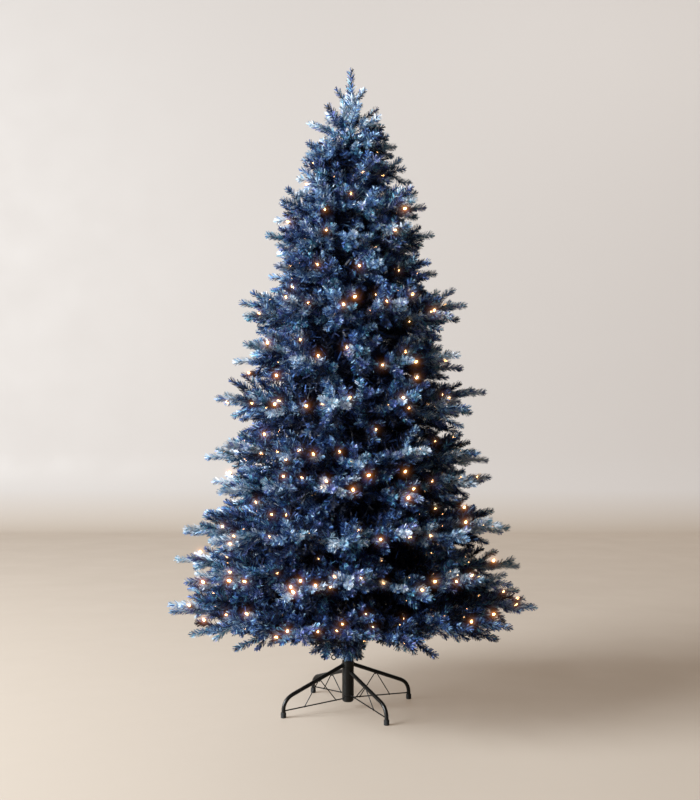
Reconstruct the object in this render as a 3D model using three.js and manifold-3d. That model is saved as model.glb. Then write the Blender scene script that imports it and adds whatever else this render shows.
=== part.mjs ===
// Artificial subalpine fir on a folding metal stand.
// Millimetres, +Z up, X to the viewer's right, Y away from the viewer.
// The origin is on the floor, under the axis of the pole.
import * as THREE from "three";
import { mergeVertices } from "three/addons/utils/BufferGeometryUtils.js";
import Module from "manifold-3d";

const wasm = await Module();
wasm.setup();

// Driving dimensions
const TREE_HEIGHT = 2130;
const CLEARANCE = 0.3; // between touching pieces
const SPACE_MARGIN = 1.5; // from a foliage mass to the edge of its own space

const POLE = { radius: 15, foot: 26, top: 1890, tipRadius: 5, wall: 2 };
const POLE_SECTIONS = [
  { top: 760, radius: POLE.radius },
  { top: 1400, radius: 13 },
  { top: 1840, radius: 10.5 },
];
const RECEIVER = { radius: 24, height: 18 }; // the ring that the lowest boughs hook into

const STAND = {
  yaw: THREE.MathUtils.degToRad(30.4), // from +X to the upper frame's right leg
  footReach: 241,
  sleeveBottom: 22,
  sleeveTop: 172,
  tubeRadius: 6.5,
  rodRadius: 2.1,
  braceRadius: 1.7,
  bendRadius: 36,
};
const SLEEVE_INNER = POLE.radius + CLEARANCE;
const SLEEVE_OUTER = SLEEVE_INNER + POLE.wall;
const COLLAR_INNER = SLEEVE_OUTER + CLEARANCE;
const COLLAR_OUTER = COLLAR_INNER + POLE.wall;
const FRAMES = [
  {
    name: "stand_frame_upper",
    turn: 0,
    collars: [[136.3, 160], [28, 41.7]],
    tubeHeight: 145,
    tubeSlope: -0.39,
    rodHeight: 35,
  },
  {
    name: "stand_frame_lower",
    turn: Math.PI / 2,
    collars: [[42, 136]],
    tubeHeight: 122,
    tubeSlope: -0.3,
    rodHeight: 48,
  },
];
const ROD_FOOT_HEIGHT = 22;
const BRACE_SHARES = { inner: 0.19, apex: 0.45, outer: 0.68 }; // of the foot's reach
const FOOT_CAP = { radius: 9, height: 17, floor: 3, sides: 10 };
const CLAMP = { height: 169, shaftRadius: 3, eyeRadius: 7.6, eyeWire: 1.9, reach: 47 };

// Each tier of boughs: how high its tips are and how far they reach, on the left and on the right,
// how many masses it has and the angle, in degrees, that its first mass is turned from +X.
const TIERS = [
  { tips: [350, 347], reaches: [614, 633], count: 5, turn: 9 },
  { tips: [478, 459], reaches: [588, 577], count: 4, turn: 36 },
  { tips: [597, 622], reaches: [562, 547], count: 4, turn: 8 },
  { tips: [749, 756], reaches: [473, 492], count: 4, turn: 26 },
  { tips: [857, 835], reaches: [473, 477], count: 4, turn: 4 },
  { tips: [997, 1034], reaches: [444, 466], count: 4, turn: 57 },
  { tips: [1182, 1142], reaches: [387, 399], count: 3, turn: 18 },
  { tips: [1331, 1306], reaches: [377, 399], count: 3, turn: 41 },
  { tips: [1440, 1454], reaches: [278, 314], count: 3, turn: 10 },
  { tips: [1548, 1558], reaches: [282, 292], count: 3, turn: 30 },
  { tips: [1655, 1664], reaches: [250, 274], count: 3, turn: 47 },
  { tips: [1766, 1781], reaches: [178, 200], count: 2, turn: 55 },
  { tips: [1856, 1870], reaches: [146, 166], count: 2, turn: 4 },
];
const CROWN_DROP = 78; // from the lowest tips to the crown's underside
const CROWN_SHOULDER = 46; // from the tips of the last tier to its top
const BARE_BOUGH = 132; // how far the lowest boughs are bare, from the axis
const RISE = { low: 0.07, high: 0.5, power: 1.6 }; // slope of the boughs, lowest and at the very top

const RIDGE_SPACING = 219; // between the boughs of a tier, round its rim

// The dense heart of a mass: how far it reaches and how much of its space's height it fills, along a
// bough and between two. Its thickest place lies in the middle of its reach.
const HEART = {
  ridge: { reach: 0.7, thickness: 0.96 },
  valley: { reach: 0.52, thickness: 0.82 },
  unevenReach: [0.97, 1.05],
  unevenThickness: [0.92, 1],
  middle: [0.42, 0.6],
};

// The sprays that stand out of it: how far their tips reach and how high they stand in the space.
const SPRAY = {
  ridge: { tipReach: [0.96, 1], tipLift: [0.05, 0.4], whorls: 2 },
  valley: { tipReach: [0.8, 0.88], tipLift: [0.8, 0.95], whorls: 1 },
  turn: [-0.2, 0.2],
  sunk: 30, // from a spray's foot to the surface it stands out of
  width: 26, // and wider by a share of the reach
  widthShare: 0.05,
  topWidth: 34, // of those at the very top and at the foot
};

// The foliage at the top: the leader and the whorls under it, on one stem that stands on the pole.
const LEADER = { foot: 2000, width: SPRAY.topWidth, whorls: 3, lean: 12 };
const LEADER_STEM = { top: 2050, footRadius: 6, topRadius: 4, sides: 6 };
const LEADER_HEART = { low: POLE.top + 6, widest: 1930, high: 2010, radius: 34 };
const LEADER_WHORLS = [
  { base: 1905, tip: 1946, reach: 138, count: 5, turn: 30 },
  { base: 1930, tip: 1990, reach: 96, count: 5, turn: 0 },
  { base: 2000, tip: 2056, reach: 52, count: 4, turn: 4 },
];

// The foliage round the foot of the pole, where it enters the sleeve. A notch leaves the clamp free.
const FOOT_WRAP = {
  low: 160,
  high: 262,
  rows: 4,
  sides: 8,
  radius: 37,
  neck: 25,
  count: 5,
  turn: 36,
  sprayReach: [66, 92],
  sprayHeight: [208, 238],
  notch: { length: 60, width: 16, height: 20, middle: -45 },
};

const ROUND_SIDES = 18; // of the pole, the sleeve and the collars

const COLOURS = {
  pole: 0x2b3038,
  stand: 0x1d1c1a,
  rubber: 0x141414,
  bough: 0x27334a,
  needles: 0x2f5582,
};

// Small helpers
function seeded(seed) {
  let state = seed >>> 0;
  return (low = 0, high = 1) => {
    state = (state + 0x6d2b79f5) >>> 0;
    let mixed = Math.imul(state ^ (state >>> 15), state | 1);
    mixed ^= mixed + Math.imul(mixed ^ (mixed >>> 7), mixed | 61);
    return low + (high - low) * (((mixed ^ (mixed >>> 14)) >>> 0) / 4294967296);
  };
}

function polar(radius, angle, z) {
  return new THREE.Vector3(radius * Math.cos(angle), radius * Math.sin(angle), z);
}

function toSolid(geometry) {
  const bare = geometry.index ? geometry.toNonIndexed() : geometry.clone();
  bare.deleteAttribute("normal");
  bare.deleteAttribute("uv");
  const merged = mergeVertices(bare, 1e-3);
  return new wasm.Manifold(
    new wasm.Mesh({
      numProp: 3,
      vertProperties: merged.attributes.position.array,
      triVerts: new Uint32Array(merged.index.array),
    }),
  );
}

// The largest body of a solid: a scrap that a cut left loose is dropped.
function mainBody(solid) {
  return solid.decompose().reduce((a, b) => (a.volume() > b.volume() ? a : b));
}

function toGeometry(solid) {
  const mesh = mainBody(solid).getMesh();
  return new THREE.BufferGeometry()
    .setAttribute("position", new THREE.BufferAttribute(mesh.vertProperties, 3))
    .setIndex(new THREE.BufferAttribute(mesh.triVerts, 1));
}

function pointsOf(geometry) {
  const at = geometry.attributes.position;
  return Array.from({ length: at.count }, (_, i) => new THREE.Vector3().fromBufferAttribute(at, i));
}

function joined(geometries) {
  return geometries.map(toSolid).reduce((a, b) => a.add(b));
}

// A solid less everything within a distance of the pole's axis.
function clearOfAxis(solid, distance) {
  const bore = lathe([[0, 0], [distance, 0], [distance, TREE_HEIGHT], [0, TREE_HEIGHT]], ROUND_SIDES);
  return solid.subtract(toSolid(bore));
}

// A closed skin over rings of points that all have the same number of points, with flat ends.
// A ring of one point is a tip.
function skin(rings) {
  const positions = rings.flat().flatMap((p) => p.toArray());
  const starts = rings.map((_, i) => rings.slice(0, i).reduce((n, ring) => n + ring.length, 0));
  const sides = Math.max(...rings.map((ring) => ring.length));
  const faces = [];
  for (let i = 0; i + 1 < rings.length; i++) {
    for (let k = 0; k < sides; k++) {
      const at = (ring, n) => starts[ring] + (rings[ring].length === 1 ? 0 : n % sides);
      const [a, b] = [at(i, k), at(i, k + 1)];
      const [c, d] = [at(i + 1, k), at(i + 1, k + 1)];
      if (a !== b) faces.push(a, b, d);
      if (c !== d) faces.push(a, d, c);
    }
  }
  const last = starts[rings.length - 1];
  for (let k = 1; k + 1 < sides; k++) {
    if (rings[0].length > 1) faces.push(starts[0], starts[0] + k + 1, starts[0] + k);
    if (rings[rings.length - 1].length > 1) faces.push(last, last + k, last + k + 1);
  }
  return new THREE.BufferGeometry()
    .setAttribute("position", new THREE.Float32BufferAttribute(positions, 3))
    .setIndex(faces);
}

// Points round an axis at one place on it. The frame is any two directions square to the axis.
function ringAt(centre, frame, radius, sides, turn = 0) {
  return Array.from({ length: sides }, (_, k) => {
    const angle = turn + (2 * Math.PI * k) / sides;
    return centre
      .clone()
      .addScaledVector(frame.across, radius * Math.cos(angle))
      .addScaledVector(frame.over, radius * Math.sin(angle));
  });
}

function frameAlong(direction) {
  const along = direction.clone().normalize();
  const helper = Math.abs(along.z) > 0.9 ? new THREE.Vector3(1, 0, 0) : new THREE.Vector3(0, 0, 1);
  const across = new THREE.Vector3().crossVectors(helper, along).normalize();
  return { along, across, over: new THREE.Vector3().crossVectors(along, across) };
}

// A tapering round limb, with its ends square to it or in the frame that is given.
function limb(from, to, startRadius, endRadius, sides, frame = frameAlong(to.clone().sub(from))) {
  return skin([ringAt(from, frame, startRadius, sides), ringAt(to, frame, endRadius, sides)]);
}

// The frame of an upright face that looks outwards.
function uprightFrame(angle) {
  const over = new THREE.Vector3(0, 0, 1);
  return { across: new THREE.Vector3(-Math.sin(angle), Math.cos(angle), 0), over };
}

function lathe(profile, sides) {
  const points = profile.map(([radius, z]) => new THREE.Vector2(radius, z));
  return new THREE.LatheGeometry(points, sides).rotateX(Math.PI / 2);
}

// The pole: three sections, each a little slimmer than the one below, and a slim tip.
function poleRadius(z) {
  const section = POLE_SECTIONS.find((s) => z < s.top);
  return section ? section.radius : POLE.tipRadius;
}

function poleProfile() {
  const foot = POLE.foot + CLEARANCE;
  const ring = TIER_LINES[0].base - RECEIVER.height / 2;
  const shoulder = 5;
  const profile = [
    [0, foot],
    [POLE.radius, foot],
    [POLE.radius, ring],
    [RECEIVER.radius, ring],
    [RECEIVER.radius, ring + RECEIVER.height],
    [POLE.radius, ring + RECEIVER.height],
  ];
  POLE_SECTIONS.forEach((section, i) => {
    const next = POLE_SECTIONS[i + 1]?.radius ?? POLE.tipRadius;
    profile.push([section.radius, section.top - shoulder], [next, section.top]);
  });
  profile.push([POLE.tipRadius, POLE.top], [0, POLE.top]);
  return profile;
}

// The stand: an inner sleeve with a plugged foot, and two frames that turn round it, each with two legs.
function sleeve() {
  const edge = 6;
  return lathe(
    [
      [0, STAND.sleeveBottom],
      [SLEEVE_OUTER - edge, STAND.sleeveBottom],
      [SLEEVE_OUTER, STAND.sleeveBottom + edge / 2],
      [SLEEVE_OUTER, STAND.sleeveTop],
      [SLEEVE_INNER, STAND.sleeveTop],
      [SLEEVE_INNER, POLE.foot],
      [0, POLE.foot],
    ],
    ROUND_SIDES,
  );
}

function collar([low, high]) {
  return lathe(
    [
      [COLLAR_INNER, low],
      [COLLAR_OUTER, low],
      [COLLAR_OUTER, high],
      [COLLAR_INNER, high],
      [COLLAR_INNER, low],
    ],
    ROUND_SIDES,
  );
}

// A round tube along a line that lies in the XZ plane.
function tube(points, radius, sides) {
  const rings = points.map((point, i) => {
    const before = points[Math.max(i - 1, 0)];
    const after = points[Math.min(i + 1, points.length - 1)];
    const along = after.clone().sub(before).normalize();
    const across = new THREE.Vector3(0, 1, 0);
    const over = new THREE.Vector3().crossVectors(along, across);
    return ringAt(point, { across, over }, radius, sides);
  });
  return skin(rings);
}

// One leg: a tube that slopes out from the collar and bends down into an upright foot, a thin rod
// under it, and two braces between them.
function leg(frame) {
  const start = COLLAR_OUTER - POLE.wall;
  const bendStart = STAND.footReach - STAND.bendRadius;
  const heightAt = (reach) => frame.tubeHeight + frame.tubeSlope * (reach - start);
  const corner = new THREE.Vector3(STAND.footReach, 0, heightAt(STAND.footReach));
  const bend = new THREE.QuadraticBezierCurve3(
    new THREE.Vector3(bendStart, 0, heightAt(bendStart)),
    corner,
    corner.clone().setZ(corner.z - STAND.bendRadius),
  );
  const line = [
    new THREE.Vector3(start, 0, heightAt(start)),
    ...bend.getPoints(5),
    corner.clone().setZ(FOOT_CAP.floor + CLEARANCE),
  ];
  const rodAt = (share) => {
    const fall = (frame.rodHeight - ROD_FOOT_HEIGHT) * share;
    return new THREE.Vector3(share * STAND.footReach, 0, frame.rodHeight - fall);
  };
  const apexReach = BRACE_SHARES.apex * STAND.footReach;
  const apex = new THREE.Vector3(apexReach, 0, heightAt(apexReach));
  const braces = [BRACE_SHARES.inner, BRACE_SHARES.outer].map((share) =>
    limb(apex, rodAt(share), STAND.braceRadius, STAND.braceRadius, 4),
  );
  return [
    tube(line, STAND.tubeRadius, 8),
    limb(rodAt(start / STAND.footReach), rodAt(1), STAND.rodRadius, STAND.rodRadius, 6),
    ...braces,
  ];
}

function standFrame(frame) {
  const legs = [0, Math.PI].flatMap((side) => {
    const turn = STAND.yaw + frame.turn + side;
    return leg(frame).map((piece) => piece.rotateZ(turn));
  });
  return toGeometry(clearOfAxis(joined([...frame.collars.map(collar), ...legs]), COLLAR_INNER));
}

function footCap() {
  const inner = (STAND.tubeRadius + CLEARANCE) / Math.cos(Math.PI / FOOT_CAP.sides);
  return lathe(
    [
      [0, 0],
      [FOOT_CAP.radius - 1, 0],
      [FOOT_CAP.radius, 1.5],
      [FOOT_CAP.radius, FOOT_CAP.height],
      [inner, FOOT_CAP.height],
      [inner, FOOT_CAP.floor],
      [0, FOOT_CAP.floor],
    ],
    FOOT_CAP.sides,
  );
}

// The clamp screw, which ends in an eye to turn it by. It stands on the sleeve's left side.
function clampScrew() {
  const shaftStart = SLEEVE_OUTER + CLEARANCE;
  const shaftEnd = CLAMP.reach - CLAMP.eyeRadius;
  const from = new THREE.Vector3(-shaftStart, 0, CLAMP.height);
  const nutEnd = new THREE.Vector3(-shaftStart - 5, 0, CLAMP.height);
  const to = new THREE.Vector3(-shaftEnd, 0, CLAMP.height);
  const eye = new THREE.TorusGeometry(CLAMP.eyeRadius, CLAMP.eyeWire, 6, 14);
  eye.rotateX(Math.PI / 2).translate(-CLAMP.reach, 0, CLAMP.height);
  return toGeometry(
    joined([
      limb(from, nutEnd, CLAMP.shaftRadius * 2, CLAMP.shaftRadius * 2, 6),
      limb(from, to, CLAMP.shaftRadius, CLAMP.shaftRadius, 8),
      eye,
    ]),
  );
}

// The crown. Every tier is a layer between two cones, cut into as many sectors as it has masses.
const TIER_LINES = TIERS.map(({ tips, reaches }) => {
  const [tip, reach] = [(tips[0] + tips[1]) / 2, (reaches[0] + reaches[1]) / 2];
  const slope = RISE.low + (RISE.high - RISE.low) * Math.pow(tip / TREE_HEIGHT, RISE.power);
  return { slope, base: tip - slope * reach, lean: (tips[1] - tips[0]) / 2 / reach };
});

function lineHeight(index, radius, angle) {
  const { base, slope, lean } = TIER_LINES[index];
  return base + (slope + lean * Math.cos(angle)) * radius;
}

function reachAt(index, angle) {
  const [left, right] = TIERS[index].reaches;
  return THREE.MathUtils.lerp(left, right, (1 + Math.cos(angle)) / 2);
}

// Where a tier's space ends: half way to the next tier, or at the crown's underside or shoulder.
function edgeHeight(index, step, radius, angle) {
  const own = lineHeight(index, radius, angle);
  if (index + step < 0) return own - CROWN_DROP;
  if (index + step === TIERS.length) return own + CROWN_SHOULDER;
  return (own + lineHeight(index + step, radius, angle)) / 2;
}

// A point of a mass's space: how far round from its middle, from -1 to 1, how far out, and how
// high, from -1 at its floor to 1 at its ceiling.
function placeIn(space, turn, radius, lift) {
  const half = space.half - Math.asin(SPACE_MARGIN / radius);
  const angle = space.angle + turn * half;
  const own = lineHeight(space.index, radius, angle);
  const edge = edgeHeight(space.index, Math.sign(lift), radius, angle);
  const room = Math.abs(edge - own) - SPACE_MARGIN;
  return polar(radius, angle, own + lift * room);
}

function inSpace(point, space) {
  const radius = Math.hypot(point.x, point.y);
  const angle = Math.atan2(point.y, point.x);
  const turn = Math.atan2(Math.sin(angle - space.angle), Math.cos(angle - space.angle));
  return (
    radius * Math.sin(space.half - Math.abs(turn)) > SPACE_MARGIN &&
    point.z > edgeHeight(space.index, -1, radius, angle) + SPACE_MARGIN &&
    point.z < edgeHeight(space.index, 1, radius, angle) - SPACE_MARGIN
  );
}

// A spray: a slim stem with whorls of three needles that lean forward, each whorl turned half way
// round from the last.
function spray(foot, tip, width, whorls) {
  const frame = frameAlong(tip.clone().sub(foot));
  const length = foot.distanceTo(tip);
  const place = (share) => foot.clone().addScaledVector(frame.along, share * length);
  const rings = [[foot]];
  for (let i = 0; i < whorls; i++) {
    const turn = (i % 2) * (Math.PI / 3);
    const root = 0.18 + (0.74 * i) / whorls;
    const needleTips = root + 0.52 / whorls;
    rings.push(ringAt(place(root), frame, width * 0.17, 3, turn));
    rings.push(ringAt(place(needleTips), frame, width * (0.5 - 0.06 * i), 3, turn));
  }
  rings.push([tip]);
  return skin(rings);
}

// How many boughs a mass shows: its heart is a fan with a ridge along each, and valleys between.
function ridgesOf(space) {
  const [left, right] = TIERS[space.index].reaches;
  return Math.max(3, Math.round((space.half * (left + right)) / RIDGE_SPACING));
}

function heartReach(space, turn, isRidge) {
  const { reach } = isRidge ? HEART.ridge : HEART.valley;
  return reach * reachAt(space.index, space.angle + turn * space.half);
}

function heart(space, inner, random) {
  const ridges = ridgesOf(space);
  const sections = Array.from({ length: 2 * ridges + 1 }, (_, i) => {
    const turn = i / ridges - 1;
    const isRidge = i % 2 === 1;
    const outer = heartReach(space, turn, isRidge) * random(...HEART.unevenReach);
    const { thickness } = isRidge ? HEART.ridge : HEART.valley;
    const at = (share, lift) => placeIn(space, turn, THREE.MathUtils.lerp(inner, outer, share), lift);
    return [
      at(0, 0.01),
      at(random(...HEART.middle), thickness * random(...HEART.unevenThickness)),
      at(1, random(0.01, 0.15)),
      at(random(...HEART.middle), -thickness * random(...HEART.unevenThickness)),
    ];
  });
  return skin(sections);
}

// The seeded rule that places a mass's sprays, each told by its foot and its tip: one ends each
// bough, and between two boughs a shorter one stands up or hangs down.
function spraysOf(space, random) {
  const ridges = ridgesOf(space);
  return Array.from({ length: 2 * ridges - 1 }, (_, i) => {
    const turn = (i + 1) / ridges - 1;
    const isRidge = i % 2 === 0;
    const rule = isRidge ? SPRAY.ridge : SPRAY.valley;
    const reach = reachAt(space.index, space.angle + turn * space.half);
    const width = SPRAY.width + reach * SPRAY.widthShare;
    const side = Math.floor(i / 2) % 2 ? -1 : 1;
    const tipReach = reach * random(...rule.tipReach);
    const tipLift = side * random(...rule.tipLift);
    const foot = placeIn(space, turn, heartReach(space, turn, isRidge) - SPRAY.sunk, 0);
    const tip = placeIn(space, turn + random(...SPRAY.turn) / ridges, tipReach, tipLift);
    tip.z -= (tipLift * width) / 2;
    return { foot, tip, width, whorls: rule.whorls };
  });
}

function foliageMass(index, number) {
  const { count, turn } = TIERS[index];
  const angle = THREE.MathUtils.degToRad(turn) + (number * 2 * Math.PI) / count;
  const space = { index, angle, half: Math.PI / count };
  const random = seeded(1000 * (index + 1) + number);
  const lowest = index === 0;
  const start = (lowest ? BARE_BOUGH : poleRadius(lineHeight(index, 0, angle))) + CLEARANCE;
  const inner = lowest ? BARE_BOUGH + 18 : 34;
  const [from, to] = [placeIn(space, 0, start, 0), placeIn(space, 0, inner + 22, 0)];
  const stem = limb(from, to, lowest ? 5 : 4, 3, 3, uprightFrame(angle));
  const sprays = spraysOf(space, random)
    .map(({ foot, tip, width, whorls }) => spray(foot, tip, width, whorls))
    .filter((geometry) => pointsOf(geometry).every((point) => inSpace(point, space)));
  return toGeometry(joined([heart(space, inner, random), stem, ...sprays]));
}

// A bare bough of the lowest tier, from the receiver ring to its mass.
function lowestBough(number) {
  const angle = THREE.MathUtils.degToRad(TIERS[0].turn) + (number * 2 * Math.PI) / TIERS[0].count;
  const at = (radius) => polar(radius, angle, lineHeight(0, radius, angle));
  return limb(at(RECEIVER.radius + CLEARANCE), at(BARE_BOUGH), 6, 5, 8, uprightFrame(angle));
}

function leaderMass() {
  const lean = (x, y, z) => {
    const share = (z - POLE.top) / (TREE_HEIGHT - POLE.top);
    return new THREE.Vector3(x + LEADER.lean * share, y, z);
  };
  const upright = frameAlong(new THREE.Vector3(0, 0, 1));
  const { top, footRadius, topRadius, sides } = LEADER_STEM;
  const stem = limb(lean(0, 0, POLE.top + CLEARANCE), lean(0, 0, top), footRadius, topRadius, sides);
  const heartwood = skin([
    [lean(0, 0, LEADER_HEART.low)],
    ringAt(lean(0, 0, LEADER_HEART.widest), upright, LEADER_HEART.radius, sides),
    [lean(0, 0, LEADER_HEART.high)],
  ]);
  const tip = lean(0, 0, TREE_HEIGHT);
  const leader = spray(lean(0, 0, LEADER.foot), tip, LEADER.width, LEADER.whorls);
  const whorls = LEADER_WHORLS.flatMap((whorl) =>
    Array.from({ length: whorl.count }, (_, k) => {
      const angle = THREE.MathUtils.degToRad(whorl.turn) + (k * 2 * Math.PI) / whorl.count;
      const from = polar(2, angle, whorl.base);
      const to = polar(whorl.reach, angle, whorl.tip);
      return spray(lean(from.x, from.y, from.z), lean(to.x, to.y, to.z), SPRAY.topWidth, 2);
    }),
  );
  return toGeometry(joined([stem, heartwood, leader, ...whorls]));
}

function footMass() {
  const { low, high, rows, sides, radius, neck, count, turn, notch } = FOOT_WRAP;
  const axis = frameAlong(new THREE.Vector3(0, 0, 1));
  const rowHeight = (high - low) / rows;
  const rings = Array.from({ length: rows }, (_, i) => {
    const base = low + i * rowHeight;
    const twist = ((i % 2) * Math.PI) / sides;
    return [
      ringAt(new THREE.Vector3(0, 0, base), axis, neck, sides, twist),
      ringAt(new THREE.Vector3(0, 0, base + 0.8 * rowHeight), axis, radius, sides, twist),
    ];
  });
  const wrap = skin([...rings.flat(), ringAt(new THREE.Vector3(0, 0, high), axis, neck, sides)]);
  const random = seeded(77);
  const sprays = Array.from({ length: count }, (_, k) => {
    const angle = THREE.MathUtils.degToRad(turn) + (k * 2 * Math.PI) / count;
    const reach = random(...FOOT_WRAP.sprayReach);
    const height = random(...FOOT_WRAP.sprayHeight);
    return spray(polar(18, angle, height + 12), polar(reach, angle, height), SPRAY.topWidth, 1);
  });
  const socket = lathe(
    [
      [0, low - 1],
      [SLEEVE_OUTER + CLEARANCE, low - 1],
      [SLEEVE_OUTER + CLEARANCE, STAND.sleeveTop + CLEARANCE],
      [POLE.radius + CLEARANCE, STAND.sleeveTop + CLEARANCE],
      [POLE.radius + CLEARANCE, high + 1],
      [0, high + 1],
    ],
    ROUND_SIDES,
  );
  const cut = new THREE.BoxGeometry(notch.length, notch.width, notch.height);
  cut.translate(notch.middle, 0, CLAMP.height - 2);
  return toGeometry(joined([wrap, ...sprays]).subtract(toSolid(socket)).subtract(toSolid(cut)));
}

// Assembly
const tree = new THREE.Group();

function add(name, geometry, colour, roughness = 0.7, metalness = 0) {
  const material = new THREE.MeshStandardMaterial({ color: colour, roughness, metalness });
  const mesh = new THREE.Mesh(geometry, material);
  mesh.name = name;
  tree.add(mesh);
  return mesh;
}

add("trunk_pole", lathe(poleProfile(), ROUND_SIDES), COLOURS.pole, 0.5, 0.6);
add("stand_sleeve", sleeve(), COLOURS.stand, 0.45, 0.7);
FRAMES.forEach((frame) => add(frame.name, standFrame(frame), COLOURS.stand, 0.4, 0.7));
["right", "back", "left", "front"].forEach((side, k) => {
  const cap = add(`foot_cap_${side}`, footCap(), COLOURS.rubber, 0.8);
  cap.position.copy(polar(STAND.footReach, STAND.yaw + (k * Math.PI) / 2, 0));
});
add("clamp_screw", clampScrew(), COLOURS.stand, 0.35, 0.8);

for (let k = 0; k < TIERS[0].count; k++) {
  add(`bough_lowest_${k + 1}`, lowestBough(k), COLOURS.bough);
}
TIERS.forEach((tier, index) => {
  for (let k = 0; k < tier.count; k++) {
    const label = `foliage_tier_${String(index + 1).padStart(2, "0")}_${k + 1}`;
    add(label, foliageMass(index, k), COLOURS.needles, 0.9);
  }
});
add("foliage_leader", leaderMass(), COLOURS.needles, 0.9);
add("foliage_foot", footMass(), COLOURS.needles, 0.9);

export default tree;
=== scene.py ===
"""Looks of the artificial fir tree: needles, twigs, lamps, pole, stand, light and camera.

Sizes are millimetres, in the part's frame, and MM turns them into metres. The floor, the lights and the
camera are in metres.
"""

import math

import bpy
import numpy as np
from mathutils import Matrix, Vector


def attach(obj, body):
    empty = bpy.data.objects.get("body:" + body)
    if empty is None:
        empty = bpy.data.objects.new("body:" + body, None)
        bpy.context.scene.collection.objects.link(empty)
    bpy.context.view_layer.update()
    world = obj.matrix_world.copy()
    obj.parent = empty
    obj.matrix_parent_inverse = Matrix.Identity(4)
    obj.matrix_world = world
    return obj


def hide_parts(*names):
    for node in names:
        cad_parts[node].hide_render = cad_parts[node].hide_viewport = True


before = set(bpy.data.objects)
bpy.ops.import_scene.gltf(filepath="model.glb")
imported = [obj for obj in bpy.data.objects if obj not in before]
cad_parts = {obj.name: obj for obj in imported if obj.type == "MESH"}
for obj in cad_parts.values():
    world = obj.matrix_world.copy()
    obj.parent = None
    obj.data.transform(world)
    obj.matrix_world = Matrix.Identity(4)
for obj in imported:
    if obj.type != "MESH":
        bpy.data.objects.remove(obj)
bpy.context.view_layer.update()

MM = 0.001
UP = np.array([0.0, 0.0, 1.0])

# The part's driving dimensions
TREE_HEIGHT = 2130
CLEARANCE = 0.3
POLE = {"radius": 15, "foot": 26, "top": 1890, "tip_radius": 5, "wall": 2}
POLE_SECTIONS = [(760, 15), (1400, 13), (1840, 10.5)]  # top, radius
RECEIVER = {"radius": 24, "height": 18}
STAND = {
    "yaw": math.radians(30.4),
    "foot_reach": 241,
    "sleeve_bottom": 22,
    "sleeve_top": 172,
    "tube_radius": 6.5,
    "rod_radius": 2.1,
    "brace_radius": 1.7,
    "bend_radius": 36,
}
SLEEVE_OUTER = POLE["radius"] + CLEARANCE + POLE["wall"]
COLLAR_INNER = SLEEVE_OUTER + CLEARANCE
COLLAR_OUTER = COLLAR_INNER + POLE["wall"]
FRAMES = [
    {
        "name": "stand_frame_upper",
        "turn": 0,
        "collars": [(136.3, 160), (28, 41.7)],
        "tube_height": 145,
        "tube_slope": -0.39,
        "rod_height": 35,
    },
    {
        "name": "stand_frame_lower",
        "turn": math.pi / 2,
        "collars": [(42, 136)],
        "tube_height": 122,
        "tube_slope": -0.3,
        "rod_height": 48,
    },
]
ROD_FOOT_HEIGHT = 22
BRACE_SHARES = {"inner": 0.19, "apex": 0.45, "outer": 0.68}
WELD_BEAD = [(-2.4, 0.4), (-1.2, 0.95), (0.3, 1.05), (1.6, 0.8), (2.6, 0.3)]  # offset, share of its radius
FOOT_CAP = {"radius": 9, "height": 17, "floor": 3}
CLAMP = {"height": 169, "shaft_radius": 3, "eye_radius": 7.6, "eye_wire": 1.9, "reach": 47}

# The crown's tiers: tip heights and reaches on the left and right, masses, and the first one's turn
TIERS = [
    ((350, 347), (614, 633), 5, 9),
    ((478, 459), (588, 577), 4, 36),
    ((597, 622), (562, 547), 4, 8),
    ((749, 756), (473, 492), 4, 26),
    ((857, 835), (473, 477), 4, 4),
    ((997, 1034), (444, 466), 4, 57),
    ((1182, 1142), (387, 399), 3, 18),
    ((1331, 1306), (377, 399), 3, 41),
    ((1440, 1454), (278, 314), 3, 10),
    ((1548, 1558), (282, 292), 3, 30),
    ((1655, 1664), (250, 274), 3, 47),
    ((1766, 1781), (178, 200), 2, 55),
    ((1856, 1870), (146, 166), 2, 4),
]
CROWN_DROP = 78
CROWN_SHOULDER = 46
RISE_LOW, RISE_HIGH, RISE_POWER = 0.07, 0.5, 1.6
RIDGE_SPACING = 219
BARE_BOUGH = 132
FOOT_WRAP = {"low": 160, "count": 5, "turn": 36}
LEADER_WHORLS = [(1905, 1946, 138, 5, 30), (1930, 1990, 96, 5, 0), (2000, 2056, 52, 4, 4)]
LEADER_LEAN = 12
LEADER_FORK = 0.4  # share of a long finger where it forks

# Needles, from the lightest to the darkest, and two that stand in for steel in some twigs
NEEDLE_COLOURS = {
    "frost": (0.50, 0.55, 0.61),
    "teal": (0.24, 0.38, 0.49),
    "steel": (0.125, 0.24, 0.42),
    "royal": (0.036, 0.088, 0.26),
    "navy": (0.013, 0.026, 0.084),
    "night": (0.007, 0.010, 0.021),
    "lagoon": (0.09, 0.27, 0.38),
    "violet": (0.15, 0.18, 0.42),
}
KINDS = list(NEEDLE_COLOURS)
STEEL, NIGHT = KINDS.index("steel"), KINDS.index("night")
STEEL_SHARES = {"steel": 0.5, "lagoon": 0.3, "violet": 0.2}
PIECE_LIMIT = 95000  # needles of two triangles each, in one piece

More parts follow.
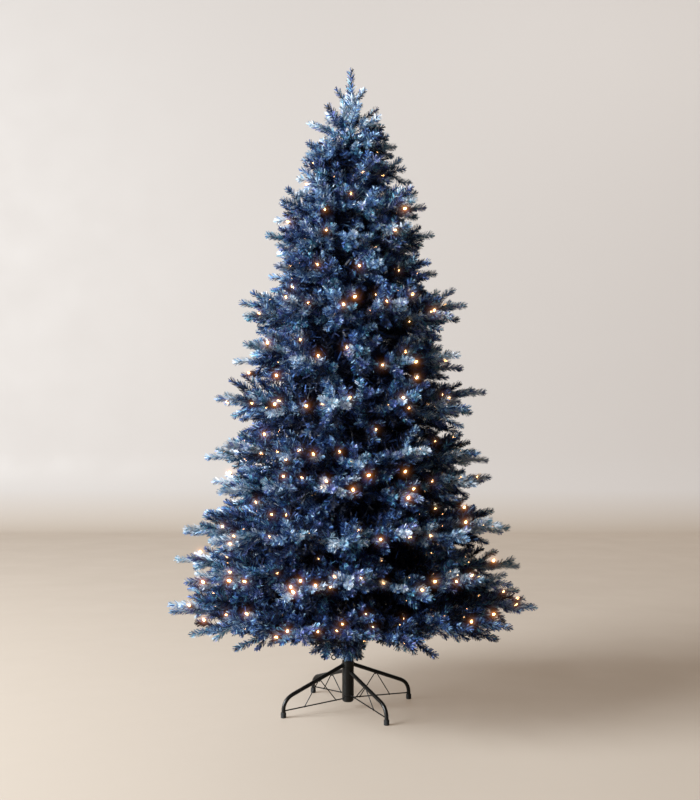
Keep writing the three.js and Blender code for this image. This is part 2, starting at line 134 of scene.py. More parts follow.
# How boughs and twigs grow on from the source's limbs
BOUGH_RADIUS = 2.4
BOUGH_ARCH = (0.03, 0.2)  # at the floor and at the top
FREE_TIP = (70, 96)  # of a bough, beyond its last side twigs, at the floor and at the top
FILL_REACH = 0.95  # of a bough that fills the room between two tiers, beside the source's
LEVELLED = np.array([1, 1, 0.5])  # how much of its bough's slope a twig keeps
TWIG = {
    "radius": 1.4,
    "spread": (34, 56),  # degrees between it and its bough
    "less_at_top": 13,  # degrees
    "forward": 0.3,
    "rise": 0.1,
    "shortest": 46,
    "forks_from": 84,  # length
    "forks": (0.3, 0.5),  # shares of its length
    "levels": 3,
}
TWIG_LIFT = ((0, 1200, 1700), (0.5, 0.4, 0.14))  # heights, and how steeply a twig may rise or fall there
TWIG_STEPS = (6, 2, 1)  # lengths of stem that follow the curve of a bough, a twig and a finer twig
FILM_SPACING = 35
ROUND_POLE = 2.4  # radians from one short twig by the pole to the next

# How light or dark a limb is, partly at random and partly as painted light and shade from its place, and
# where its needles take light from
BOUGH_TONE = 0.3  # how much lighter or darker one bough is than the next
# Painted light on the boughs along a tier's own line, painted shade on those that fill the room between
# tiers
TIER_PAINTED_LIGHT = (0.32, -0.9)  # of boughs on a tier's own line, and of those that fill the room between tiers
# Painted shade over the whole lowest tier
LOWEST_PAINTED_SHADE = 0.5
OF_ONE_COLOUR, ITS_PICK = -2, 0.92  # the depth of a limb that leaves nothing to chance, and its colour
# Painted shade inside the crown: the lower a limb's depth, the darker the colours it is dealt, less so
# towards the top
PAINTED_SHADE_INSIDE = {"low": 0.62, "less_at_top": 0.25, "edge": 1.02, "slope": 1.5, "range": (-0.4, 1.25)}
ROUNDED = 0.52  # how far needles take light as one rounded spray, not each by itself

# How needles stand on moulded tips, on twigs of cut film further in, and on those by the pole
GOLDEN_ANGLE = 2.39996
FANNED_END = 12  # the last stretch of a twig, where needles turn forwards
FORWARD_END = 0.7  # how far they also take light as its tip
SHORTER_AT_TOP = 0.97
WIDER_AT_TOP = 7  # degrees
NEEDLES = [
    {"length": 20, "width": 3.4, "per_mm": 1.27, "sweep": 42, "unruly": 0.05, "end": 90, "inner": 0.26},
    {"length": 25, "width": 4.6, "per_mm": 0.32, "sweep": 54, "unruly": 0.2, "end": 900, "inner": 1},
    {"length": 38, "width": 8.0, "per_mm": 0.2, "sweep": 60, "unruly": 0.3, "end": 900, "inner": 1},
]
# Shares of the colours from frost to night in each of these, and how far a needle may differ from its
# twig. The film and core needles further in are darker, partly their own colour and partly painted shade.
COLOUR_SHARES = [
    (0.14, 0.26, 0.30, 0.20, 0.08, 0.02),
    (0, 0.02, 0.12, 0.32, 0.32, 0.22),
    (0, 0, 0, 0.1, 0.4, 0.5),
]
TONES, TONE_SHARES = (-2, -1, 0, 1, 2), (0.06, 0.2, 0.36, 0.22, 0.16)

# A lamp's socket and lens are given by how far out and how wide they are at each ring
LAMP = {
    "apart": 77,
    "highest": 1890,
    "place": (0.3, 0.7),  # share of its twig
    "least_depth": 0.1,
    "sides": 6,
    "colour": (1.0, 0.52, 0.2),
    "strength": (5, 15),
    "socket": [(0, 1.4), (2, 2.5), (15, 2.8), (16, 2.3)],
    "lens": [(15.6, 2.4), (17.5, 3.7), (21.5, 3.7), (25, 2.4), (26.6, 0.7)],
}
GLOW = {"Threshold": 1.5, "Smoothness": 0.3, "Strength": 1.9, "Size": 0.022, "Tint": (1.0, 0.62, 0.34, 1)}


def pole_radius(z):
    return next((radius for top, radius in POLE_SECTIONS if z < top), POLE["tip_radius"])


# The source's seeded rule
def seeded(seed):
    state = [seed & 0xFFFFFFFF]

    def draw(low=0.0, high=1.0):
        state[0] = (state[0] + 0x6D2B79F5) & 0xFFFFFFFF
        now = state[0]
        mixed = ((now ^ (now >> 15)) * (now | 1)) & 0xFFFFFFFF
        mixed ^= (mixed + (mixed ^ (mixed >> 7)) * (mixed | 61)) & 0xFFFFFFFF
        return low + (high - low) * (mixed ^ (mixed >> 14)) / 4294967296

    return draw


def polar(radius, angle, z):
    return np.array([radius * math.cos(angle), radius * math.sin(angle), z])


def tier_line(tips, reaches):
    tip = (tips[0] + tips[1]) / 2
    reach = (reaches[0] + reaches[1]) / 2
    slope = RISE_LOW + (RISE_HIGH - RISE_LOW) * (tip / TREE_HEIGHT) ** RISE_POWER
    return tip - slope * reach, slope, (tips[1] - tips[0]) / 2 / reach


TIER_LINES = [tier_line(tips, reaches) for tips, reaches, _, _ in TIERS]


def line_height(tier, radius, angle):
    base, slope, lean = TIER_LINES[tier]
    return base + (slope + lean * math.cos(angle)) * radius


def reach_at(tier, angle):
    left, right = TIERS[tier][1]
    return left + (right - left) * (1 + math.cos(angle)) / 2


def room_at(tier, step, radius, angle):
    """From a tier's own line to the edge of its space, upwards or downwards."""
    if tier + step < 0:
        return CROWN_DROP
    if tier + step == len(TIERS):
        return CROWN_SHOULDER
    own = line_height(tier, radius, angle)
    return abs(line_height(tier + step, radius, angle) - own) / 2


def place_in(tier, angle, radius, lift):
    room = room_at(tier, 1 if lift > 0 else -1, radius, angle)
    return polar(radius, angle, line_height(tier, radius, angle) + lift * room)


# Limbs that carry needles, each a curve of three points
class Limbs:
    """All boughs and twigs. Each one's style is its place in NEEDLES, and its depth is 1 in full light; a
    lower depth deals its needles darker colours, as painted shade.
    """

    def __init__(self):
        self.rows = []

    def add(self, start, middle, end, radius, level, style, depth):
        self.rows.append((start, middle, end, radius, level, style, depth))


def unit(vector):
    return vector / np.linalg.norm(vector)


def on_curve(start, middle, end, share):
    return (1 - share) ** 2 * start + 2 * share * (1 - share) * middle + share**2 * end


def along_curve(start, middle, end, share):
    slope = (1 - share) * (middle - start) + share * (end - middle)
    return slope / np.linalg.norm(slope, axis=-1, keepdims=True)


def side_twig(limbs, root, along, side, length, draw, level, style, depth, lift):
    """A twig that leaves a limb forwards and sideways, more level than it, then bends forwards."""
    along = unit(along * LEVELLED)
    angle = math.radians(draw(*TWIG["spread"]) - TWIG["less_at_top"] * root[2] / TREE_HEIGHT)
    direction = unit(math.cos(angle) * along + math.sin(angle) * side + lift * UP)
    end = root + length * unit(direction + TWIG["forward"] * along + draw(0.0, TWIG["rise"]) * UP)
    middle = root + 0.5 * length * direction
    limbs.add(root, middle, end, TWIG["radius"], level, style, depth)
    if length > TWIG["forks_from"] and level < TWIG["levels"]:
        across = unit(np.cross(UP, direction))
        for k, share in enumerate(TWIG["forks"]):
            turn = (1 if k % 2 else -1) * across
            place = on_curve(root, middle, end, share)
            reach = max(TWIG["shortest"], length * draw(0.45, 0.6))
            side_twig(limbs, place, direction, turn, reach, draw, level + 1, style, depth, draw(-0.2, 0.3))


def frond(limbs, start, middle, end, half_width, draw, spans, tone_and_painted_light):
    """A bough with twigs to both sides. Each span is first share, last share, spacing and style."""
    length = np.linalg.norm(middle - start) + np.linalg.norm(end - middle)
    free = np.interp(end[2], (0, TREE_HEIGHT), FREE_TIP) / length
    # A tone at random, added to the painted light and shade that the bough's tier gives
    tone_and_painted_light += draw(-BOUGH_TONE, BOUGH_TONE)
    limbs.add(start, middle, end, BOUGH_RADIUS, 0, 0, 1.0 + tone_and_painted_light)
    for first, last, spacing, span_style in spans:
        last = max(first + 0.12, min(last, 1 - free))
        number = max(1, round(length * (last - first) / spacing))
        for k in range(number):
            share = first + (last - first) * (k + draw(0.1, 0.9)) / number
            place = on_curve(start, middle, end, share)
            along = along_curve(start, middle, end, share)
            across = unit(np.cross(UP, along))
            wide = half_width * (0.55 + 0.45 * math.sin(math.pi * min(1, share + 0.1)))
            for turn in (-1, 1):
                reach = wide * draw(0.75, 1.1) * (1.15 - 0.55 * share) + 30
                reach = max(np.interp(place[2], (1000, 2000), (68, 46)), reach)
                lift = draw(-1, 1) * np.interp(place[2], *TWIG_LIFT)
                depth = share + 0.5 * lift + tone_and_painted_light
                side_twig(limbs, place, along, turn * across, reach, draw, 1, span_style, depth, lift)


def film_share(height):
    """How far out film still covers a bough, beside the lowest ones. It is less towards the top."""
    return np.interp(height, (1000, 1900), (1, 0.55))


def close_gaps(limbs, tier, start, middle, end, draw, first, last):
    """Twigs of film that stand up and hang down from a bough, into the room between two tiers."""
    length = np.linalg.norm(middle - start) + np.linalg.norm(end - middle)
    number = max(2, round(length * (last - first) / FILM_SPACING))
    for k in range(number):
        share = first + (last - first) * (k + draw(0.1, 0.9)) / number
        place = on_curve(start, middle, end, share)
        along = along_curve(start, middle, end, share)
        across = unit(np.cross(UP, along))
        radius, angle = math.hypot(place[0], place[1]), math.atan2(place[1], place[0])
        for step in (-1, 1):
            if tier + step < 0:
                # The lowest tier's twigs hang down, with a low depth for painted shade under the crown
                droop = unit(-0.7 * UP + along + draw(-0.8, 0.8) * across)
                tip = place + draw(50, 68) * droop
                limbs.add(place, (place + tip) / 2 - 4 * droop, tip, 1.4, 2, 0, 0.45)
                continue
            room = max(45, 1.05 * room_at(tier, step, radius, angle))
            forward = draw(0.0, 0.9) + (0.8 if share > 0.5 else 0)
            direction = unit(step * UP + forward * along + draw(-0.6, 0.6) * across)
            tip = place + room * direction
            bend = place + 0.6 * room * unit(direction - 0.4 * along)
            film = film_share(place[2])
            style = 2 if share < 0.45 * film else 1 if share < 0.58 * film else 0
            # A low depth for painted shade in the room between tiers
            limbs.add(place, bend, tip, 1.2, 2, style, 0.2 + 0.9 * (1 - film))


def grow_crown(limbs):
    """The source's masses again, each bough and each spray between two boughs grown to its twigs."""
    for tier, (tips, reaches, count, turn) in enumerate(TIERS):
        half = math.pi / count
        ridges = max(3, math.floor(half * sum(reaches) / RIDGE_SPACING + 0.5))
        film = film_share(tips[0])
        core = (0.1 if tier else 0.2, 0.34 * film, 70, 2)
        inner = (0.3 * film, 0.55 * film, 74, 1)
        outer = (0.5 * film, 0.95, np.interp(tips[0], (1200, 1700), (52, 58)), 0)
        for number in range(count):
            angle = math.radians(turn) + number * 2 * half
            draw = seeded(1000 * (tier + 1) + number)
            finer = seeded(900000 + 1000 * (tier + 1) + number)
            rows = []
            for i in range(2 * ridges - 1):
                share = (i + 1) / ridges - 1
                is_ridge = i % 2 == 0
                reach = reach_at(tier, angle + share * half)
                side = -1 if i // 2 % 2 else 1
                tip_reach = reach * (draw(0.96, 1) if is_ridge else draw(0.8, 0.88))
                tip_lift = side * (draw(0.05, 0.4) if is_ridge else draw(0.8, 0.95))
                tip_angle = angle + (share + draw(-0.2, 0.2) / ridges) * half
                rows.append((is_ridge, tip_angle, tip_reach, tip_lift))
            # Between two masses, where the source keeps a narrow gap
            for lift in (-0.8, 0.75):
                tip_reach = reach_at(tier, angle + half) * finer(0.74, 0.86)
                rows.append((False, angle + half + finer(-0.05, 0.05), tip_reach, lift))
            for is_ridge, tip_angle, tip_reach, tip_lift in rows:
                if tier and not is_ridge:
                    tip_reach *= FILL_REACH
                tip = place_in(tier, tip_angle, tip_reach - 8, tip_lift)
                middle = place_in(tier, tip_angle, 0.55 * tip_reach, tip_lift * 0.3)
                middle[2] += tip_reach * np.interp(tip[2], (0, TREE_HEIGHT), BOUGH_ARCH)
                start = place_in(tier, tip_angle, pole_radius(tip[2]) - 2, 0.001)
                if tier == 0:
                    start = place_in(0, angle, BARE_BOUGH - 6, 0.001)
                width = 20 + 0.12 * tip_reach
                spans = [core, inner, outer] if is_ridge else [(0.3, 0.64, 72, 1), (0.64, 0.94, 56, 0)]
                # Painted light on a tier's own boughs and painted shade on the fill boughs between tiers,
                # weaker towards the top, and painted shade over the whole lowest tier
                tone_and_painted_light = TIER_PAINTED_LIGHT[0 if is_ridge else 1] * np.interp(tip[2], (1100, 1900), (1, 0.4))
                tone_and_painted_light -= 0 if tier else LOWEST_PAINTED_SHADE
                frond(limbs, start, middle, tip, width, finer, spans, tone_and_painted_light)
                first, last = (0.12, 0.74) if is_ridge else (0.25, 0.72)
                close_gaps(limbs, tier, start, middle, tip, finer, first, last)


def grow_leader(limbs):
    """The leader with its whorls, and the short twigs that hide the pole's slim top."""
    draw = seeded(40)

    def lean(point):
        share = (point[2] - POLE["top"]) / (TREE_HEIGHT - POLE["top"])
        return point + np.array([LEADER_LEAN * share, 0, 0])

    start, end = lean(polar(0, 0, 1960)), lean(polar(0, 0, TREE_HEIGHT - 11))
    limbs.add(start, (start + end) / 2, end, 3, 0, 0, OF_ONE_COLOUR)
    for base, height, reach, count, turn in LEADER_WHORLS:
        for k in range(count):
            angle = math.radians(turn) + k * 2 * math.pi / count
            start, end = lean(polar(2, angle, base)), lean(polar(reach - 6, angle, height))
            middle = (start + end) / 2 - 6 * UP
            limbs.add(start, middle, end, 2, 1, 0, draw(0.5, 1.1))
            if reach < 100:
                continue
            place = on_curve(start, middle, end, LEADER_FORK)
            along = along_curve(start, middle, end, LEADER_FORK)
            across = unit(np.cross(UP, along))
            for side in (-1, 1):
                length = draw(46, 62)
                side_twig(limbs, place, along, side * across, length, draw, 1, 0, 0.9, draw(0, 0.3))
    # Upright twigs that hug the stem between the whorls
    for k in range(9):
        angle, base = 0.7 + k * ROUND_POLE, 1900 + 9 * k
        start, end = lean(polar(4, angle, base)), lean(polar(draw(24, 36), angle, base + draw(56, 70)))
        limbs.add(start, (start + end) / 2 + polar(6, angle, 0), end, 1.4, 1, 0, draw(0.8, 1.2))
    # Short twigs that close the foliage round the pole's slim top
    for k in range(44):
        angle, base = k * ROUND_POLE, 1540 + 7.5 * k
        start = polar(6, angle, base)
        end = polar(draw(60, 92), angle, base + draw(30, 70))
        limbs.add(start, (start + end) / 2, end, 1.4, 1, 1, 0.5)


def grow_foot(limbs):
    """The foliage that wraps the pole's foot above the stand."""
    draw = seeded(77)
    for k in range(FOOT_WRAP["count"]):
        angle = math.radians(FOOT_WRAP["turn"]) + k * 2 * math.pi / FOOT_WRAP["count"]
        reach, height = draw(66, 92), draw(208, 238)
        start, end = polar(16, angle, height + 12), polar(reach - 6, angle, height)
        limbs.add(start, (start + end) / 2, end, 1.6, 1, 0, 0.8)
    for k in range(46):
        angle, base = k * ROUND_POLE, 190 + 2.7 * k
        if math.cos(angle) < -0.5 and base < 232:
            continue
        start = polar(17, angle, base + 22)
        end = polar(draw(33, 44) + 0.3 * (base - 196), angle, base - draw(14, 26))
        limbs.add(start, (start + end) / 2 + polar(6, angle, 0), end, 1.2, 1, 0, 0.6)
    for k in range(13):
        angle = math.radians(-154 + 25.6 * k)
        start, end = polar(18, angle, draw(216, 228)), polar(draw(31, 35), angle, draw(170, 178))
        limbs.add(start, (start + end) / 2 + polar(6, angle, 0), end, 1.2, 1, 0, 0.7)
    # Up the pole, between the foot and the lowest boughs, with dark core needles and a low depth as
    # painted shade round the pole
    for k in range(150):
        angle, base = k * ROUND_POLE, 296 + 10.4 * k
        reach = draw(60, 120)
        start, end = polar(12, angle, base), polar(reach, angle, base + draw(-50, 70))
        limbs.add(start, (start + end) / 2, end, 1.4, 1, 2, 0.3)


# Needles
def needle_places(rule, lengths, level, random):
    """Each needle's limb, its number there, and how far along the limb it stands."""
    # Dense for its last stretch, thinner further in, and a bough is bare near the pole
    dense = np.minimum(rule["end"], 0.92 * lengths)
    bare = np.where(level == 0, 0.12, 0.08)
    thin = rule["inner"] * (lengths * (1 - bare) - dense)
    counts = np.maximum(8, ((dense + thin) * rule["per_mm"]).astype(int))
    owner = np.repeat(np.arange(len(lengths)), counts)
    first = np.repeat(np.cumsum(counts) - counts, counts)
    order = np.arange(len(owner)) - first
    share = (order + random.random(len(owner))) / counts[owner]
    turning = (thin / (dense + thin))[owner]
    inner_part = bare[owner] + share / (turning + 1e-9) * (1 - bare - dense / lengths)[owner]
    outer_part = 1 - (1 - share) / (1 - turning) * (dense / lengths)[owner]
    return owner, order, np.where(share < turning, inner_part, outer_part)


def needle_batch(limbs, style, random):
    """Strips of two triangles all over the limbs of one style: their corners, normals and colours."""
    rule = NEEDLES[style]
    rows = [row for row in limbs.rows if row[5] == style]
    start, middle, end = (np.array([row[k] for row in rows]) for k in range(3))
    radius, level, depth = (np.array([row[k] for row in rows]) for k in (3, 4, 6))
    lengths = np.linalg.norm(middle - start, axis=1) + np.linalg.norm(end - middle, axis=1)
    owner, order, share = needle_places(rule, lengths, level, random)
    place = share[:, None]
    at = on_curve(start[owner], middle[owner], end[owner], place)
    along = along_curve(start[owner], middle[owner], end[owner], place)
    across = np.cross(UP, along)
    across /= np.linalg.norm(across, axis=1, keepdims=True) + 1e-9
    over = np.cross(along, across)
    roll = order * GOLDEN_ANGLE + random.normal(0, 0.25, len(owner))
    out = np.cos(roll)[:, None] * across + np.sin(roll)[:, None] * over
    near_end = np.clip(1 - (1 - share) * lengths[owner] / FANNED_END, 0, 1)
    spread = np.radians(rule["sweep"] + np.interp(at[:, 2], (1000, 1800), (0, WIDER_AT_TOP)))
    sweep = (1 - near_end) * spread + near_end * random.random(len(owner))
    sweep += random.normal(0, rule["unruly"], len(owner))
    point = np.cos(sweep)[:, None] * along + np.sin(sweep)[:, None] * out
    size = rule["length"] * random.uniform(0.88, 1.06, len(owner)) * (1 - 0.35 * near_end)
    size *= np.interp(at[:, 2], (1000, 2000), (1, SHORTER_AT_TOP))
    size *= np.where(np.sin(roll) < -0.5, 0.8, 1)
    flat = np.cross(point, out) + 0.5 * random.normal(0, 1, (len(owner), 3))
    flat -= (flat * point).sum(1, keepdims=True) * point
    flat /= np.linalg.norm(flat, axis=1, keepdims=True)
    facing = np.cross(point, flat)
    flip = np.where((facing * out).sum(1) < 0, -1, 1)[:, None]
    flat, facing = flat * flip, facing * flip
    body = out + FORWARD_END * near_end[:, None] * along
    body /= np.linalg.norm(body, axis=1, keepdims=True)
    normals = ROUNDED * body + (1 - ROUNDED) * facing
    normals /= np.linalg.norm(normals, axis=1, keepdims=True)
    root = at + out * radius[owner, None] * 0.6
    tip = root + size[:, None] * point
    wide = rule["width"] / 2 * flat
    strips = np.stack([root - 0.8 * wide, tip - 0.7 * wide, tip + 0.7 * wide, root + 0.8 * wide], axis=1)
    return strips, normals, colour_of(style, end[:, 2], owner, roll, depth, random)


def colour_of(style, height, owner, roll, depth, random):
    """One colour for each limb, from its place in the crown with painted shade inside it, a painted
    highlight on its upper side and painted shade underneath.
    """
    rule = PAINTED_SHADE_INSIDE
    # Painted shade from the limb's depth: deeper limbs are picked darker, limbs in full light a little
    # lighter
    painted_shade_inside = np.clip(rule["slope"] * (rule["edge"] - depth), *rule["range"])
    painted_shade_inside *= rule["low"] - rule["less_at_top"] * height / TREE_HEIGHT
    pick = painted_shade_inside + (1 - np.abs(painted_shade_inside)) * random.random(len(height))
    pick[depth == OF_ONE_COLOUR] = ITS_PICK
    kind = (np.cumsum(COLOUR_SHARES[style]) < pick[:, None]).sum(1)[owner]
    kind = kind + random.choice(TONES, len(owner), p=TONE_SHARES)
    # A painted highlight: some needles on a twig's upper side are one colour lighter; painted shade: some
    # underneath are one colour darker
    chance = random.random(len(owner))
    kind = kind - ((np.sin(roll) > 0.1) & (chance < 0.3)) + ((np.sin(roll) < -0.3) & (chance > 0.6))
    kind = np.clip(kind, 0 if style == 0 else 1, NIGHT)
    choices = [KINDS.index(name) for name in STEEL_SHARES]
    steel = random.choice(choices, len(height), p=list(STEEL_SHARES.values()))
    return np.where(kind == STEEL, steel[owner], kind)


# Meshes
def triangle_piece(name, vertices, triangles, material, slot, nodes=(), sharp=None, normals=None):
    mesh = bpy.data.meshes.new(name)
    mesh.vertices.add(len(vertices))
    mesh.vertices.foreach_set("co", (np.asarray(vertices) * MM).astype(np.float32).ravel())
    triangles = np.asarray(triangles, dtype=np.int32)
    mesh.loops.add(triangles.size)
    mesh.loops.foreach_set("vertex_index", triangles.ravel())
    mesh.polygons.add(len(triangles))
    mesh.polygons.foreach_set("loop_start", np.arange(0, triangles.size, 3, dtype=np.int32))
    mesh.update(calc_edges=True)
    if sharp is not None:
        mesh.shade_smooth()
        mesh.set_sharp_from_angle(angle=math.radians(sharp))
    if normals is not None:
        layer = mesh.attributes.new("custom_normal", "FLOAT_VECTOR", "POINT")
        layer.data.foreach_set("vector", normals.astype(np.float32).ravel())
    mesh.materials.append(material)
    thing = bpy.data.objects.new(name, mesh)
    bpy.context.scene.collection.objects.link(thing)
    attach(thing, "root")
    if nodes:
        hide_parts(*nodes)
    return thing


def joined(shapes):
    vertices, triangles, total = [], [], 0
    for points, faces in shapes:
        vertices.append(points)
        triangles.append(np.asarray(faces) + total)
        total += len(points)
    return np.concatenate(vertices), np.concatenate(triangles)


def swept(points, radii, sides, closed=False):
    """A round tube along a line of points, with flat ends unless it is closed."""
    points = np.asarray(points, dtype=float)
    radii = np.broadcast_to(np.asarray(radii, dtype=float), len(points))
    if closed:
        slopes = np.roll(points, -1, 0) - np.roll(points, 1, 0)
    else:
        slopes = np.gradient(points, axis=0)
    slopes /= np.linalg.norm(slopes, axis=1, keepdims=True)
    across = np.cross(slopes[0], UP if abs(slopes[0][2]) < 0.9 else np.array([1.0, 0, 0]))
    rings = []
    turns = np.arange(sides) * 2 * math.pi / sides
    for point, slope, radius in zip(points, slopes, radii):
        across = unit(across - across.dot(slope) * slope)
        over = np.cross(slope, across)
        ring = np.cos(turns)[:, None] * across + np.sin(turns)[:, None] * over
        rings.append(point + radius * ring)
    vertices = np.concatenate(rings)
    count = len(points)
    faces = []
    for i in range(count if closed else count - 1):
        a, b = i * sides, (i + 1) % count * sides
        for k in range(sides):
            n = (k + 1) % sides
            faces += [(a + k, a + n, b + n), (a + k, b + n, b + k)]
    if not closed:
        vertices = np.concatenate([vertices, points[:1], points[-1:]])
        first, last = count * sides, count * sides + 1
        for k in range(sides):
            n = (k + 1) % sides
            faces += [(first, n, k), (last, (count - 1) * sides + k, (count - 1) * sides + n)]
    return vertices, np.array(faces)


def lathe(profile, sides=40):
    """A shape turned about the tree's axis from its radius and height at each point, with ends closed."""
    turns = np.arange(sides) * 2 * math.pi / sides
    rings = [
        np.stack([r * np.cos(turns), r * np.sin(turns), np.full(sides, float(z))], axis=1)
        for r, z in profile
    ]
    faces = []
    for i in range(len(profile) - 1):
        a, b = i * sides, (i + 1) * sides
        for k in range(sides):
            n = (k + 1) % sides
            faces += [(a + k, a + n, b + n), (a + k, b + n, b + k)]
    return np.concatenate(rings), np.array(faces)


def turned(start, direction, profile, sides):
    """A shape turned about a line, from how far along it and how wide it is at each point."""
    line = [start + unit(direction) * offset for offset, _ in profile]
    return swept(line, [radius for _, radius in profile], sides)


def spun(shape, angle, shift=(0, 0, 0)):
    vertices, faces = shape
    c, s = math.cos(angle), math.sin(angle)
    matrix = np.array([[c, -s, 0], [s, c, 0], [0, 0, 1]])
    return vertices @ matrix.T + np.array(shift), faces


# Materials
def noise_into(material, scale, detail=3.0):
    nodes, links = material.node_tree.nodes, material.node_tree.links
    place = nodes.new("ShaderNodeTexCoord")
    noise = nodes.new("ShaderNodeTexNoise")
    noise.inputs["Scale"].default_value = scale
    noise.inputs["Detail"].default_value = detail
    links.new(place.outputs["Object"], noise.inputs["Vector"])
    return noise


def ranged(material, source, low, high, socket):
    nodes, links = material.node_tree.nodes, material.node_tree.links
    spread = nodes.new("ShaderNodeMapRange")
    spread.inputs["From Min"].default_value = 0.3
    spread.inputs["From Max"].default_value = 0.7
    spread.inputs["To Min"].default_value = low
    spread.inputs["To Max"].default_value = high
    links.new(source, spread.inputs["Value"])
    links.new(spread.outputs["Result"], socket)


def new_material(name, colour, metallic=0.0, specular=0.2):
    material = bpy.data.materials.new(name)
    material.use_nodes = True
    shader = material.node_tree.nodes["Principled BSDF"]
    shader.inputs["Base Color"].default_value = (*colour, 1)
    shader.inputs["Metallic"].default_value = metallic
    shader.inputs["Specular IOR Level"].default_value = specular
    return material, shader


def needle_material(kind):
    material, shader = new_material("needles_" + kind, NEEDLE_COLOURS[kind], specular=0.35)
    noise = noise_into(material, 140)
    ranged(material, noise.outputs["Fac"], 0.38, 0.6, shader.inputs["Roughness"])
    return material


def coat_material(name, colour, metallic, rough, grain, depth):
    """A painted or moulded surface: two noises give its grain and its uneven gloss."""
    material, shader = new_material(name, colour, metallic)
    nodes, links = material.node_tree.nodes, material.node_tree.links
    ranged(material, noise_into(material, 30).outputs["Fac"], *rough, shader.inputs["Roughness"])
    bump = nodes.new("ShaderNodeBump")
    bump.inputs["Strength"].default_value = 0.5
    bump.inputs["Distance"].default_value = depth
    links.new(noise_into(material, grain, 2).outputs["Fac"], bump.inputs["Height"])
    links.new(bump.outputs["Normal"], shader.inputs["Normal"])
    return material


def lens_material():
    material, shader = new_material("lamp_lens", LAMP["colour"])
    shader.inputs["Emission Color"].default_value = (*LAMP["colour"], 1)
    noise = noise_into(material, 60)
    ranged(material, noise.outputs["Fac"], 0.1, 0.3, shader.inputs["Roughness"])
    ranged(material, noise.outputs["Fac"], *LAMP["strength"], shader.inputs["Emission Strength"])
    return material


FOLIAGE_NODES = sorted(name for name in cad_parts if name.startswith("foliage_"))


def build_needles(limbs):
    random = np.random.default_rng(11)
    batches = [needle_batch(limbs, style, random) for style in range(len(NEEDLES))]
    strips = np.concatenate([batch[0] for batch in batches])
    normals = np.concatenate([batch[1] for batch in batches])
    kinds = np.concatenate([batch[2] for batch in batches])
    for k, kind in enumerate(KINDS):
        chosen = np.flatnonzero(kinds == k)
        material = needle_material(kind)
        parts = max(1, math.ceil(len(chosen) / PIECE_LIMIT))
        for part, group in enumerate(np.array_split(chosen, parts)):
            base = np.arange(len(group))[:, None] * 4
            triangles = np.concatenate([base + [0, 1, 2], base + [0, 2, 3]])
            name = f"needles_{kind}_{part + 1}"
            corners = strips[group].reshape(-1, 3)
            facing = np.repeat(normals[group], 4, axis=0)
            triangle_piece(name, corners, triangles, material, "needles", FOLIAGE_NODES, normals=facing)


def build_twigs(limbs):
    """Three-sided stems that taper to a point."""
    material = coat_material("twig_wrap", (0.010, 0.013, 0.016), 0.0, (0.6, 0.85), 400, 0.0006)
    shapes = []
    turns = np.arange(3) * 2 * math.pi / 3
    for start, middle, end, radius, level, _, _ in limbs.rows:
        steps = TWIG_STEPS[min(level, 2)]
        shares = np.linspace(0, 1, steps + 1)[:-1, None]
        centres = on_curve(start, middle, end, shares)
        slopes = along_curve(start, middle, end, shares)
        across = np.cross(slopes, UP) + 1e-6
        across /= np.linalg.norm(across, axis=1, keepdims=True)
        over = np.cross(slopes, across)
        widths = radius * (1 - 0.6 * shares)
        rings = [centres + widths * (math.cos(a) * across + math.sin(a) * over) for a in turns]
        vertices = np.concatenate([np.stack(rings, axis=1).reshape(-1, 3), end[None]])
        faces = [(3 * steps - 3 + k, 3 * steps - 3 + (k + 1) % 3, 3 * steps) for k in range(3)]
        for i in range(steps - 1):
            for k in range(3):
                a, b = 3 * i + k, 3 * i + (k + 1) % 3
                faces += [(a, b, b + 3), (a, b + 3, a + 3)]
        shapes.append((vertices, np.array(faces)))
    vertices, triangles = joined(shapes)
    triangle_piece("twigs", vertices, triangles, material, "bough_wrap", FOLIAGE_NODES)


def build_lamps(limbs):
    """A socket and a lens by some of the moulded tips, outside the needles."""
    draw = seeded(5)
    sockets, lenses, places = [], [], np.full((1, 3), 9e9)
    for start, middle, end, _, level, style, depth in limbs.rows:
        # Nearer to the bough towards the top, so that no lamp stands clear of the crown
        share = draw(*LAMP["place"]) * np.interp(end[2], (1300, 1700), (1, 0.5))
        place = on_curve(start, middle, end, share)
        near = np.linalg.norm(places - place, axis=1).min()
        hidden = style != 0 or level == 0 or depth < LAMP["least_depth"] or end[2] > LAMP["highest"]
        if hidden or near < LAMP["apart"]:
            continue
        places = np.concatenate([places, place[None]])
        outward = unit(np.array([place[0], place[1], 0]) + 1e-6)
        side = unit(np.cross(UP, outward)) * draw(-0.8, 0.8)
        direction = unit(outward * draw(0.3, 1.0) + UP * draw(0.1, 0.9) + side)
        sockets.append(turned(place, direction, LAMP["socket"], LAMP["sides"]))
        lenses.append(turned(place, direction, LAMP["lens"], LAMP["sides"]))
    socket = coat_material("lamp_socket", (0.008, 0.012, 0.016), 0.0, (0.4, 0.6), 300, 0.0003)
    triangle_piece("lamp_sockets", *joined(sockets), socket, "lamp_socket", sharp=40)
    triangle_piece("lamp_lenses", *joined(lenses), lens_material(), "lamp_lens", sharp=40)


